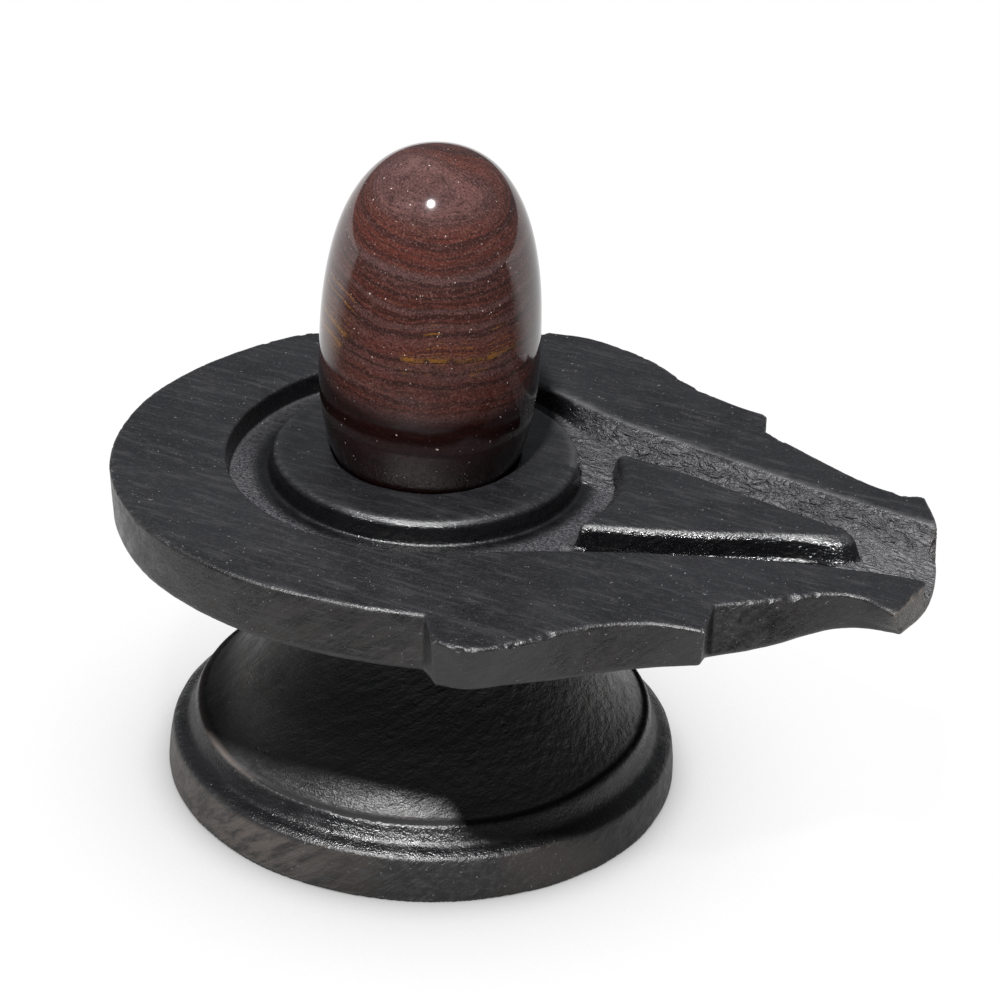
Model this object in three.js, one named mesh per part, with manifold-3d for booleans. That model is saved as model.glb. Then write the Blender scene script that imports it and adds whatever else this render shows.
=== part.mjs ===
// A polished egg-shaped stone (lingam) standing in the socket of a carved black stone
// base (yoni) with a round slab, a spout and a bell-shaped foot.
// Millimetres, +Z up, +X towards the spout. The origin is the centre of the foot's flat
// underside, so the part stands on z = 0.
import * as THREE from 'three';
import { mergeVertices } from 'three/addons/utils/BufferGeometryUtils.js';
import Module from 'manifold-3d';

// Heights
const SLAB_TOP = 80.5; // flat top of the slab, boss and island
const FLOOR_Z = 75.2; // floor of the ring groove and the channels
const WALL_Z = 69; // height at which the lower outline of the slab is given
const SKIRT_Z = 58; // lower end of the slab's blank, below its underside
const OPEN_Z = 90; // upper end of the cutters, clear of the slab

// The slab's underside is a shallow cone that rises outwards.
const UNDERSIDE_AXIS_Z = 59.5;
const UNDERSIDE_SLOPE = 0.11;
const UNDERSIDE_REACH = 140;

// Foot
const FOOT_R = 57.7;
const RIM_Z = 9.7;
const LIP_R = 51.7;
const LIP_Z = 16.6;

// Boss in the middle of the ring groove
const BOSS_X = -1.6;
const BOSS_Y = -1;
const BOSS_R = 33.9;
const BOSS_ROUND = 1.8; // radius of the worn top edge

// Lingam: an egg with its greatest girth at GIRTH_Z
const STONE_R = 24;
const GIRTH_Z = 103.9;
const UPPER_LENGTH = 47.2;
const UPPER_POWER = 2.42; // 2 is an ellipse; more is blunter
const LOWER_LENGTH = 38;
const LOWER_POWER = 2.35;
const SOCKET_GAP = 0.35;

// Facets
const FOOT_SEGMENTS = 72;
const BOSS_SEGMENTS = 60;
const STONE_SEGMENTS = 48;
const STONE_RINGS = 11; // in each half
const SPLINE_STEP = 4.5; // length of a facet along a curved outline

// The slab's outline, anticlockwise from the near side of the first shoulder. Each run is
// one smooth curve of [top x, top y, lower x, lower y]; runs meet in a corner.
const SLAB_RUNS = [
  [[22.8, -68.6, 22.8, -69.2], [27.0, -76.8, 27.4, -75.0]],
  [
    [27.0, -76.8, 27.4, -75.0],
    [34.5, -77.9, 34.2, -74.6],
    [43.8, -71.2, 42.0, -68.8],
    [53.5, -60.6, 53.0, -60.9],
    [65.0, -53.6, 64.0, -53.2],
    [76.8, -52.1, 75.4, -48.2],
  ],
  [[76.8, -52.1, 75.4, -48.2], [75.6, -41.4, 75.6, -44.4]],
  [
    [75.6, -41.4, 75.6, -44.4],
    [87.0, -34.0, 86.8, -35.8],
    [96.4, -27.2, 96.4, -25.6],
    [102.4, -26.2, 103.0, -22.8],
    [110.8, -30.1, 111.6, -22.4],
  ],
  [
    [110.8, -30.1, 111.6, -22.4],
    [113.6, -15.5, 114.0, -13.5],
    [113.4, -2.5, 113.4, -2.0],
    [110.2, 11.0, 110.2, 10.0],
    [105.2, 21.9, 105.0, 18.6],
  ],
  [
    [105.2, 21.9, 105.0, 18.6],
    [96.6, 21.7, 96.2, 19.6],
    [88.0, 25.2, 87.6, 24.4],
    [65.2, 37.7, 65.0, 38.6],
  ],
  [[65.2, 37.7, 65.0, 38.6], [63.4, 45.6, 62.6, 43.4]],
  [
    [63.4, 45.6, 62.6, 43.4],
    [54.5, 48.0, 54.0, 47.2],
    [43.0, 53.4, 42.4, 53.2],
    [31.0, 61.8, 30.4, 60.6],
    [15.0, 67.0, 14.8, 64.8],
    [4.6, 66.2, 5.0, 64.2],
  ],
  [[4.6, 66.2, 5.0, 64.2], [0.6, 61.4, 0.8, 60.8]],
  [
    [0.6, 61.4, 0.8, 60.8],
    [-24.0, 57.2, -23.6, 56.4],
    [-46.6, 42.8, -46.0, 42.2],
    [-62.3, 17.6, -61.5, 17.4],
    [-67.5, -8.5, -66.7, -8.5],
    [-61.6, -35.5, -60.9, -35.2],
    [-44.0, -57.2, -43.5, -56.7],
    [-18.0, -69.0, -17.8, -68.8],
    [6.0, -70.6, 6.0, -71.2],
    [22.8, -68.6, 22.8, -69.2],
  ],
];

// Outer edge of the ring groove and the two channels, from the near side of the mouth
const MOUTH_X = 125; // beyond the end of the spout
const CHANNEL_NEAR = [
  [MOUTH_X, -13.4],
  [112.6, -14.0],
  [97.5, -15.4],
  [79.2, -19.1],
  [57.2, -25.8],
  [38.0, -33.0],
  [19.0, -41.9],
];
const GROOVE_RING = [
  [19.0, -41.9],
  [1.0, -47.1],
  [-21.5, -41.9],
  [-38.5, -25.3],
  [-44.3, -2.5],
  [-38.2, 22.2],
  [-20.0, 39.6],
  [-1.0, 43.6],
  [17.0, 36.8],
];
const CHANNEL_FAR = [
  [17.0, 36.8],
  [34.0, 28.7],
  [54.0, 23.2],
  [78.6, 16.4],
  [103.2, 11.0],
  [MOUTH_X, 6.5],
];

// The island between the channels, anticlockwise, as [top x, top y, floor x, floor y]
const ISLAND_RUNS = [
  [
    [40.6, -20.0, 39.2, -21.6],
    [64.0, -13.0, 64.0, -14.6],
    [84.0, -5.4, 84.0, -7.4],
    [91.8, -2.8, 93.0, -6.2],
  ],
  [
    [91.8, -2.8, 93.0, -6.2],
    [94.2, -1.2, 96.8, -3.8],
    [91.4, 0.8, 94.6, 1.4],
  ],
  [
    [91.4, 0.8, 94.6, 1.4],
    [72.3, 6.3, 73.0, 7.2],
    [52.7, 12.0, 53.0, 13.0],
    [38.6, 14.4, 36.6, 15.2],
  ],
  [
    [38.6, 14.4, 36.6, 15.2],
    [43.2, 3.6, 40.4, 3.4],
    [43.3, -9.5, 40.6, -9.6],
    [40.6, -20.0, 39.2, -21.6],
  ],
];
const ISLAND_EDGE_Z = 79.3; // below the worn top edge
const ISLAND_EDGE = 0.5; // part of the way from the top outline to the floor outline

const wasm = await Module();
wasm.setup();

function toSolid(geometry) {
  const bare = geometry.clone();
  bare.deleteAttribute('normal');
  bare.deleteAttribute('uv');
  const merged = mergeVertices(bare, 1e-4);
  return new wasm.Manifold(
    new wasm.Mesh({
      numProp: 3,
      vertProperties: new Float32Array(merged.attributes.position.array),
      triVerts: new Uint32Array(merged.index.array),
    }),
  );
}

function toGeometry(solid) {
  const mesh = solid.getMesh();
  const geometry = new THREE.BufferGeometry();
  geometry.setAttribute('position', new THREE.BufferAttribute(mesh.vertProperties, 3));
  geometry.setIndex(new THREE.BufferAttribute(mesh.triVerts, 1));
  geometry.computeVertexNormals();
  return geometry;
}

// A solid of revolution about the vertical line through (x, y); profile rows are [r, z],
// from the bottom of the axis to its top.
function turned(profile, segments, x = 0, y = 0) {
  const points = profile.map(([r, z]) => new THREE.Vector2(r, z));
  const geometry = new THREE.LatheGeometry(points, segments);
  geometry.rotateX(Math.PI / 2);
  geometry.translate(x, y, 0);
  return toSolid(geometry);
}

// Points along one smooth run, without its last point, which starts the next run.
function runPoints(run, lower) {
  const shift = lower ? 2 : 0;
  const rows = run.map((row) => new THREE.Vector3(row[shift], row[shift + 1], 0));
  const tops = run.map((row) => new THREE.Vector3(row[0], row[1], 0));
  if (run.length === 2) return [rows[0]];
  const guide = new THREE.CatmullRomCurve3(tops, false, 'centripetal');
  const count = Math.max(2, Math.round(guide.getLength() / SPLINE_STEP));
  const curve = new THREE.CatmullRomCurve3(rows, false, 'centripetal');
  return curve.getPoints(count).slice(0, -1);
}

function outline(runs, lower = false) {
  return runs.flatMap((run) => runPoints(run, lower)).map((p) => new THREE.Vector2(p.x, p.y));
}

// The outline moved outwards along its own normals.
function widened(points, step) {
  return points.map((p, i) => {
    const before = points[(i + points.length - 1) % points.length];
    const after = points[(i + 1) % points.length];
    const a = p.clone().sub(before).normalize();
    const b = after.clone().sub(p).normalize();
    const normal = new THREE.Vector2(a.y + b.y, -a.x - b.x).normalize();
    const stretch = step / Math.max(0.5, normal.dot(new THREE.Vector2(a.y, -a.x)));
    return p.clone().addScaledVector(normal, stretch);
  });
}

// A closed solid through level rings of equal point count, given from the top down.
function lofted(rings) {
  const count = rings[0].points.length;
  const positions = rings.flatMap((ring) => ring.points.flatMap((p) => [p.x, p.y, ring.z]));
  const faces = [];
  for (let k = 0; k + 1 < rings.length; k++) {
    for (let i = 0; i < count; i++) {
      const j = (i + 1) % count;
      const [a, b] = [k * count + i, k * count + j];
      const [c, d] = [a + count, b + count];
      faces.push(a, c, b, b, c, d);
    }
  }
  const last = (rings.length - 1) * count;
  for (const [a, b, c] of THREE.ShapeUtils.triangulateShape(rings[0].points, [])) {
    faces.push(a, b, c);
  }
  for (const [a, b, c] of THREE.ShapeUtils.triangulateShape(rings.at(-1).points, [])) {
    faces.push(last + a, last + c, last + b);
  }
  const geometry = new THREE.BufferGeometry();
  geometry.setAttribute('position', new THREE.Float32BufferAttribute(positions, 3));
  geometry.setIndex(faces);
  return toSolid(geometry);
}

// Rim, hollow shoulder, thin lip and hollow-sided bell of the foot, up into the slab
function footAndNeck() {
  return turned(
    [
      [0, 0],
      [FOOT_R - 0.4, 0],
      [FOOT_R, 0.5],
      [56.9, RIM_Z - 0.8],
      [56.2, RIM_Z + 0.4],
      [54.2, 10.8],
      [52.8, 12.4],
      [52.0, LIP_Z - 1.6],
      [LIP_R, LIP_Z],
      [50.6, LIP_Z],
      [48.6, 19.0],
      [45.8, 22.2],
      [40.8, 28.8],
      [36.6, 35.2],
      [33.2, 41.6],
      [30.6, 48.5],
      [28.6, 55.0],
      [27.4, 59.6],
      [27.2, 64.0],
      [29.5, 70.0],
      [0, 70.0],
    ],
    FOOT_SEGMENTS,
  );
}

// Slab and spout before any groove is cut: sloping walls, flat top and conical underside
function slabBlank() {
  const top = outline(SLAB_RUNS);
  const lower = outline(SLAB_RUNS, true);
  const reach = (SLAB_TOP - SKIRT_Z) / (SLAB_TOP - WALL_Z);
  const skirt = top.map((p, i) => p.clone().lerp(lower[i], reach));
  const edge = top.map((p, i) => p.clone().lerp(lower[i], 0.06));
  const block = lofted([
    { points: widened(edge, -0.5), z: SLAB_TOP },
    { points: edge, z: SLAB_TOP - 0.7 },
    { points: skirt, z: SKIRT_Z },
  ]);
  const rise = UNDERSIDE_REACH * UNDERSIDE_SLOPE;
  const envelope = turned(
    [
      [0, UNDERSIDE_AXIS_Z],
      [UNDERSIDE_REACH, UNDERSIDE_AXIS_Z + rise],
      [UNDERSIDE_REACH, OPEN_Z],
      [0, OPEN_Z],
    ],
    FOOT_SEGMENTS,
  );
  return block.intersect(envelope);
}

function boss() {
  const [r, top, round] = [BOSS_R, SLAB_TOP, BOSS_ROUND];
  return turned(
    [
      [0, FLOOR_Z - 2],
      [r, FLOOR_Z - 2],
      [r, top - round],
      [r - 0.3 * round, top - 0.3 * round],
      [r - round, top],
      [0, top],
    ],
    BOSS_SEGMENTS,
    BOSS_X,
    BOSS_Y,
  );
}

function island() {
  const top = outline(ISLAND_RUNS);
  const floor = outline(ISLAND_RUNS, true);
  return lofted([
    { points: top, z: SLAB_TOP },
    { points: top.map((p, i) => p.clone().lerp(floor[i], ISLAND_EDGE)), z: ISLAND_EDGE_Z },
    { points: floor, z: FLOOR_Z },
    { points: floor, z: FLOOR_Z - 2 },
  ]);
}

// Everything taken out of the slab's top: the ring groove and both channels to the mouth
function waterway() {
  const mouth = [CHANNEL_FAR.at(-1), CHANNEL_NEAR[0]];
  const edge = outline([CHANNEL_NEAR, GROOVE_RING, CHANNEL_FAR, mouth]).reverse();
  const pocket = lofted([
    { points: edge, z: OPEN_Z },
    { points: edge, z: FLOOR_Z },
  ]);
  return pocket.subtract(boss()).subtract(island());
}

// The egg's profile, grown outwards by gap
function eggProfile(gap) {
  const profile = [];
  for (let i = -STONE_RINGS; i <= STONE_RINGS; i++) {
    const angle = (i / STONE_RINGS) * (Math.PI / 2);
    const [length, power] = i < 0 ? [LOWER_LENGTH, LOWER_POWER] : [UPPER_LENGTH, UPPER_POWER];
    const across = Math.abs(Math.cos(angle)) ** (2 / power);
    const along = Math.sign(i) * Math.abs(Math.sin(angle)) ** (2 / power);
    const onAxis = Math.abs(i) === STONE_RINGS;
    profile.push([onAxis ? 0 : (STONE_R + gap) * across, GIRTH_Z + (length + gap) * along]);
  }
  return profile;
}

function egg(gap) {
  return turned(eggProfile(gap), STONE_SEGMENTS, BOSS_X, BOSS_Y);
}

function yoniBase() {
  return footAndNeck().add(slabBlank()).subtract(waterway()).subtract(egg(SOCKET_GAP));
}

function piece(name, solid, material) {
  const mesh = new THREE.Mesh(toGeometry(solid), material);
  mesh.name = name;
  return mesh;
}

const blackStone = new THREE.MeshStandardMaterial({
  name: 'black_stone',
  color: 0x1f2023,
  roughness: 0.4,
  metalness: 0,
});
const bandedStone = new THREE.MeshStandardMaterial({
  name: 'banded_stone',
  color: 0x4d2a22,
  roughness: 0.12,
  metalness: 0,
});

const part = new THREE.Group();
part.add(piece('yoni_base', yoniBase(), blackStone));
part.add(piece('lingam_stone', egg(0), bandedStone));

export default part;
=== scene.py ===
import math
import random

import bmesh
import bpy
import numpy as np
from mathutils import Matrix, Vector, kdtree


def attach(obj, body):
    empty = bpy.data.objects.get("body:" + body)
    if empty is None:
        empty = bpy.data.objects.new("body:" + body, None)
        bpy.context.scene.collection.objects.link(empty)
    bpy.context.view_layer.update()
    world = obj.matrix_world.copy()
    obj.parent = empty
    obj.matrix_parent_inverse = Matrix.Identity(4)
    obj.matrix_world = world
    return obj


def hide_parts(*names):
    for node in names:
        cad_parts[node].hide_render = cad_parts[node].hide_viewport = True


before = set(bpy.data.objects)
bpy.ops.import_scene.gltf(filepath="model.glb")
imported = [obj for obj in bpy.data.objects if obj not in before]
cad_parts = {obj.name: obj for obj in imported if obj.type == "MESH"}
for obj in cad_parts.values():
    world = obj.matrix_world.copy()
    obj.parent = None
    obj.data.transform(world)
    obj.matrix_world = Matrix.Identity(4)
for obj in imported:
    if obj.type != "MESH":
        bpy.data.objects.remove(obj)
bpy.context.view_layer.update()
MM = 0.001

# ---------------------------------------------------------------------------
# The yoni base, foot. The whole base is one block of close-grained black stone,
# roughed out with a chisel, rubbed smooth and oiled. Its foot is a round plinth
# with a hollow shoulder, a thin lip and a hollow-sided bell that carries the slab.
FOOT_STEPS = 192
FOOT_RUNS = [  # (radius, height) in mm; each run is smooth and runs meet in an arris
    [(57.2, 0.0), (57.7, 0.2), (57.9, 0.8)],
    [(57.9, 0.8), (57.7, 4.5), (57.2, 8.2)],
    [(57.2, 8.2), (56.9, 9.2), (56.3, 9.9), (55.5, 10.3)],
    [
        (55.5, 10.3),
        (54.6, 10.6),
        (53.8, 10.9),
        (53.2, 11.4),
        (52.8, 12.1),
        (52.4, 13.2),
        (52.1, 14.8),
        (51.8, 16.0),
        (51.4, 16.7),
    ],
    [(51.4, 16.7), (51.1, 17.1), (50.8, 17.0)],
    [(50.8, 17.0), (50.4, 16.3), (50.0, 17.2)],
    [
        (50.0, 17.2),
        (48.6, 18.7),
        (45.8, 22.0),
        (40.8, 28.8),
        (36.6, 35.2),
        (33.2, 41.6),
        (30.6, 48.5),
        (28.6, 55.0),
        (27.4, 59.6),
        (27.2, 64.5),
    ],
]
FOOT_R = 57.7
FOOT_STEP = 0.8
RIM_TILT = 1.2  # the hand-cut rim stands this much higher in front than level
TILTED = ([0, 8, 12, 17, 20], [0, 1, 1, 0.35, 0])  # heights, and how much each tilts
LIP_SAG = 1.8  # and the lip sags this much in front
SAG_FRONT = (8, 41)  # in front of the axis, where the sag starts and where it is full
SAGGING = ([12.5, 15.5, 17.5, 28], [0, 1, 1, 0])  # heights, and how much each sags
LIP_GROOVE = (49.9, 50.9)  # a scribed groove just inside the lip, from and to this radius
GROOVE_FILL_Z, GROOVE_FILL_SLOPE = 17.05, 0.3  # its bed where it dies out, on the left
GROOVE_ENDS = (12, 26)  # left of the axis, where it starts to fill and where it is gone


def smooth_run(points, step):
    """Evenly timed points on a smooth line through the given ones, ends included."""
    p = np.array(points, float)
    p = np.vstack([2 * p[0] - p[1], p, 2 * p[-1] - p[-2]])
    knots = np.linalg.norm(np.diff(p[:, :2], axis=0), axis=1) ** 0.5
    length = np.linalg.norm(np.diff(p[1:-1, :2], axis=0), axis=1).sum()
    count = max(2, round(length / step))
    rows = []
    for t in np.linspace(0, len(points) - 1, count + 1):
        k = min(int(t), len(points) - 2)
        u = t - k
        a, b, c, d = p[k : k + 4]
        ka, kb, kc = knots[k : k + 3]
        start = kb * ((b - a) / ka - (c - a) / (ka + kb) + (c - b) / kb)
        end = kb * ((c - b) / kb - (d - b) / (kb + kc) + (d - c) / kc)
        rows.append(
            b
            + start * u
            + (-3 * b + 3 * c - 2 * start - end) * u * u
            + (2 * b - 2 * c + start + end) * u**3
        )
    return np.array(rows)


def joined_runs(runs, step):
    """All runs end to end, each without its last point."""
    return np.vstack([smooth_run(run, step)[:-1] for run in runs])


def deselect():
    bpy.ops.object.select_all(action="DESELECT")


def apply_modifier(piece, kind, **settings):
    deselect()
    piece.select_set(True)
    bpy.context.view_layer.objects.active = piece
    modifier = piece.modifiers.new(kind.lower(), kind)
    for name, value in settings.items():
        setattr(modifier, name, value)
    bpy.ops.object.modifier_apply(modifier=modifier.name)


def turned(name, profile, steps, centre=(0.0, 0.0)):
    """A disc drawn up ring by ring along a profile of (radius, height) in mm."""
    x, y = centre[0] * MM, centre[1] * MM
    radius, height = profile[0]
    deselect()
    bpy.ops.mesh.primitive_circle_add(
        vertices=steps, radius=radius * MM, fill_type="NGON", location=(x, y, height * MM)
    )
    piece = bpy.context.object
    piece.name = name
    bpy.ops.object.transform_apply(location=True)
    bpy.ops.object.mode_set(mode="EDIT")
    bpy.ops.mesh.select_all(action="SELECT")
    for new_radius, new_height in profile[1:]:
        rise = (0, 0, (new_height - height) * MM)
        bpy.ops.mesh.extrude_region_move(TRANSFORM_OT_translate={"value": rise})
        scale = new_radius / radius
        bpy.ops.transform.resize(value=(scale, scale, 1), center_override=(x, y, 0))
        radius, height = new_radius, new_height
    bpy.ops.mesh.select_all(action="SELECT")
    bpy.ops.mesh.normals_make_consistent(inside=False)
    bpy.ops.object.mode_set(mode="OBJECT")
    return piece


foot_profile = np.vstack([joined_runs(FOOT_RUNS, FOOT_STEP), FOOT_RUNS[-1][-1]])
base = turned("yoni_base_stone", foot_profile, FOOT_STEPS)


def fade(values, low, high):
    """0 at low, 1 at high, straight between and level beyond."""
    return np.clip((values - low) / (high - low), 0, 1)


def out_of_level(height, y):
    """How much higher than level the hand-cut foot stands at a height, y mm behind the axis."""
    tilt = np.interp(height, *TILTED) * RIM_TILT * -y / FOOT_R
    sag = np.interp(height, *SAGGING) * LIP_SAG
    front = fade(-y, *SAG_FRONT)
    return tilt - sag * front * front * (3 - 2 * front)


for vertex in base.data.vertices:
    radius = vertex.co.xy.length / MM
    if LIP_GROOVE[0] < radius < LIP_GROOVE[1] and vertex.co.x < 0:
        filled = GROOVE_FILL_Z + (LIP_GROOVE[1] - radius) * GROOVE_FILL_SLOPE
        gone = fade(-vertex.co.x / MM, *GROOVE_ENDS)
        vertex.co.z += max(0.0, filled * MM - vertex.co.z) * gone
    vertex.co.z += out_of_level(vertex.co.z / MM, vertex.co.y / MM) * MM

# ---------------------------------------------------------------------------
# The yoni base, slab. A round slab draws out into a spout between two carved
# shoulders, each an ogee that ends in a step. Its walls lean a little, its lower
# edge is rubbed round, and its underside rises outwards from the neck.
SLAB_TOP = 80.5
WALL_Z = 69.0  # height of the lower outline
UNDERSIDE_Z = 59.5
UNDERSIDE_SLOPE = 0.11
SLAB_STEP = 1.4
TOP_ARRIS = [(-0.6, 0.0), (-0.15, 0.2), (0.0, 0.7)]  # outwards, and down from the top
LOW_ARRIS = [(0.0, 1.0), (-0.3, 0.3), (-1.0, 0.0)]  # outwards, and up from the underside
UNDERSIDE_RINGS = (0.8, 0.55, 0.3, 0.05)  # the underside closes towards its middle
SLAB_RUNS = [  # top x, top y, lower x, lower y; anticlockwise from the near shoulder
    [(22.8, -68.6, 22.8, -69.2), (27.0, -76.8, 27.4, -75.0)],
    [
        (27.0, -76.8, 27.4, -75.0),
        (34.5, -77.9, 34.2, -74.6),
        (43.8, -71.2, 42.0, -68.8),
        (53.5, -60.6, 53.0, -60.9),
        (65.0, -53.6, 64.0, -53.2),
        (76.8, -52.1, 75.4, -48.2),
    ],
    [(76.8, -52.1, 75.4, -48.2), (75.6, -41.4, 75.6, -44.4)],
    [
        (75.6, -41.4, 75.6, -44.4),
        (87.0, -34.0, 86.8, -35.8),
        (96.4, -27.2, 96.4, -25.6),
        (102.4, -26.2, 103.0, -22.8),
        (110.8, -30.1, 111.6, -22.4),
    ],
    [
        (110.8, -30.1, 111.6, -22.4),
        (113.6, -15.5, 114.0, -13.5),
        (113.4, -2.5, 113.4, -2.0),
        (110.2, 11.0, 110.2, 10.0),
        (105.2, 21.9, 105.0, 18.6),
    ],
    [
        (105.2, 21.9, 105.0, 18.6),
        (96.6, 21.7, 96.2, 19.6),
        (88.0, 25.2, 87.6, 24.4),
        (65.2, 37.7, 65.0, 38.6),
    ],
    [(65.2, 37.7, 65.0, 38.6), (63.4, 45.6, 62.6, 43.4)],
    [
        (63.4, 45.6, 62.6, 43.4),
        (54.5, 48.0, 54.0, 47.2),
        (43.0, 53.4, 42.4, 53.2),
        (31.0, 61.8, 30.4, 60.6),
        (15.0, 67.0, 14.8, 64.8),
        (4.6, 66.2, 5.0, 64.2),
    ],
    [(4.6, 66.2, 5.0, 64.2), (0.6, 61.4, 0.8, 60.8)],
    [
        (0.6, 61.4, 0.8, 60.8),
        (-24.0, 57.2, -23.6, 56.4),
        (-46.6, 42.8, -46.0, 42.2),
        (-62.3, 17.6, -61.5, 17.4),
        (-67.5, -8.5, -66.7, -8.5),
        (-61.6, -35.5, -60.9, -35.2),
        (-44.0, -57.2, -43.5, -56.7),
        (-18.0, -69.0, -17.8, -68.8),
        (6.0, -70.6, 6.0, -71.2),
        (22.8, -68.6, 22.8, -69.2),
    ],
]


def widened(points, step):
    """A closed outline moved outwards along its own normals."""
    along = np.roll(points, -1, axis=0) - points
    along /= np.linalg.norm(along, axis=1)[:, None]
    turning = along + np.roll(along, 1, axis=0)
    normals = np.stack([turning[:, 1], -turning[:, 0]], 1)
    normals /= np.linalg.norm(normals, axis=1)[:, None]
    return points + normals * step


def lofted(name, rings):
    """A filled outline drawn through further outlines; a ring is [x, y, z] rows in mm."""
    deselect()
    bpy.ops.mesh.primitive_circle_add(vertices=len(rings[0]), radius=MM, fill_type="NGON")
    piece = bpy.context.object
    piece.name = name
    bpy.ops.object.mode_set(mode="EDIT")
    bpy.ops.mesh.select_all(action="SELECT")
    for i, ring in enumerate(rings):
        if i:
            bpy.ops.mesh.extrude_region_move()
        shape = bmesh.from_edit_mesh(piece.data)
        shape.verts.ensure_lookup_table()
        for vertex, place in zip(shape.verts[-len(ring) :], ring):
            vertex.co = Vector(place) * MM
        bmesh.update_edit_mesh(piece.data)
    bpy.ops.mesh.select_all(action="SELECT")
    bpy.ops.mesh.normals_make_consistent(inside=False)
    bpy.ops.object.mode_set(mode="OBJECT")
    return piece


def level(points, height):
    return np.column_stack([points, np.full(len(points), height)])


def underside(points, lift=0.0):
    radius = np.linalg.norm(points, axis=1)
    return np.column_stack([points, UNDERSIDE_Z + UNDERSIDE_SLOPE * radius + lift])


slab_lines = joined_runs(SLAB_RUNS, SLAB_STEP)
slab_top, slab_lower = slab_lines[:, :2], slab_lines[:, 2:]
edge_height = UNDERSIDE_Z + UNDERSIDE_SLOPE * np.linalg.norm(slab_lower, axis=1)
drop = ((SLAB_TOP - edge_height) / (SLAB_TOP - WALL_Z))[:, None]
slab_edge = slab_top + (slab_lower - slab_top) * drop
slab_mid = slab_top + (slab_lower - slab_top) * 0.5
slab = lofted(
    "slab",
    [level(widened(slab_top, out), SLAB_TOP - down) for out, down in TOP_ARRIS]
    + [level(slab_mid, (SLAB_TOP + WALL_Z) / 2)]
    + [underside(widened(slab_edge, out), up) for out, up in LOW_ARRIS]
    + [underside(slab_edge * share) for share in UNDERSIDE_RINGS],
)

# ---------------------------------------------------------------------------
# The yoni base, waterway. A groove rings a round boss and runs out to the spout in
# two channels either side of a pointed island, all cut down from the slab's top.
FLOOR_Z = 75.2
CUT_TOP = 90.0
MOUTH_X = 125.0
BOSS_CENTRE = (-1.6, -1.0)
BOSS_STEPS = 160
BOSS_PROFILE = [
    (36.4, 73.0),
    (35.0, 75.0),
    (34.3, 75.5),
    (34.0, 76.5),
    (33.8, 78.6),
    (33.6, 79.4),
    (33.0, 80.2),
    (32.2, SLAB_TOP),
    (30.0, SLAB_TOP),
    (0.01, SLAB_TOP),
]
WALL_LEAN = 0.6  # how far the groove's wall leans in from top to floor
FAR_LEAN = 3.6  # the same, more, on the far side of the far channel
FAR_STRETCH = ([14, 34, 112, 121], [0, 1, 1, 0])  # x along it, and how much it leans more
BRIM = [(1.0, CUT_TOP), (0.5, SLAB_TOP + 0.1), (0.0, SLAB_TOP - 0.5)]  # outwards, height
BED_CORNER = [(0.8, FLOOR_Z + 0.9), (1.0, FLOOR_Z)]  # share of the lean, height
WATERWAY_RUNS = [
    [
        (MOUTH_X, -13.4),
        (112.6, -14.0),
        (97.5, -15.4),
        (79.2, -19.1),
        (57.2, -25.8),
        (38.0, -33.0),
        (19.0, -41.9),
    ],
    [
        (19.0, -41.9),
        (1.0, -47.1),
        (-21.5, -41.9),
        (-38.5, -25.3),
        (-44.3, -2.5),
        (-38.2, 22.2),
        (-20.0, 39.6),
        (-1.0, 43.6),
        (17.0, 36.8),
    ],
    [
        (17.0, 36.8),
        (34.0, 28.7),
        (54.0, 23.2),
        (78.6, 16.4),
        (103.2, 11.0),
        (MOUTH_X, 6.5),
    ],
    [(MOUTH_X, 6.5), (MOUTH_X, -13.4)],
]
ISLAND_RUNS = [  # top x, top y, floor x, floor y
    [
        (40.6, -20.0, 39.2, -21.6),
        (64.0, -13.0, 64.0, -14.6),
        (84.0, -5.4, 84.0, -7.4),
        (92.0, -2.8, 94.4, -6.0),
    ],
    [(92.0, -2.8, 94.4, -6.0), (94.0, -0.8, 97.4, -3.0), (91.4, 1.0, 95.0, 1.8)],
    [
        (91.4, 1.0, 95.0, 1.8),
        (72.3, 6.3, 73.0, 7.2),
        (52.7, 12.0, 53.0, 13.0),
        (38.6, 14.4, 36.6, 15.2),
    ],
    [
        (38.6, 14.4, 36.6, 15.2),
        (43.2, 3.6, 40.4, 3.4),
        (43.3, -9.5, 40.6, -9.6),
        (40.6, -20.0, 39.2, -21.6),
    ],
]
ISLAND_SIDES = [  # share of the way from top to floor outline, inwards, height
    (0.0, 0.5, SLAB_TOP),
    (0.0, 0.0, SLAB_TOP - 0.3),
    (0.45, 0.0, 79.3),
    (1.0, 0.0, FLOOR_Z),
    (1.0, 0.0, FLOOR_Z - 2),
]
NEAR_BED = [  # the near channel is a little deeper
    (42.0, -30.6),
    (57.4, -25.0),
    (79.2, -18.3),
    (92.0, -15.7),
    (93.4, -11.0),
    (92.6, -6.9),
    (84.0, -7.9),
    (64.0, -15.1),
    (42.0, -21.2),
    (39.8, -26.0),
]
BED_RINGS = [(0.0, 0.4), (0.0, -0.6), (-0.5, -1.3)]  # outwards, and up from the floor


def cut(piece, cutter):
    """Takes the cutter's space out of the piece."""
    apply_modifier(piece, "BOOLEAN", operation="DIFFERENCE", solver="EXACT", object=cutter)
    bpy.data.objects.remove(cutter)


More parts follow.
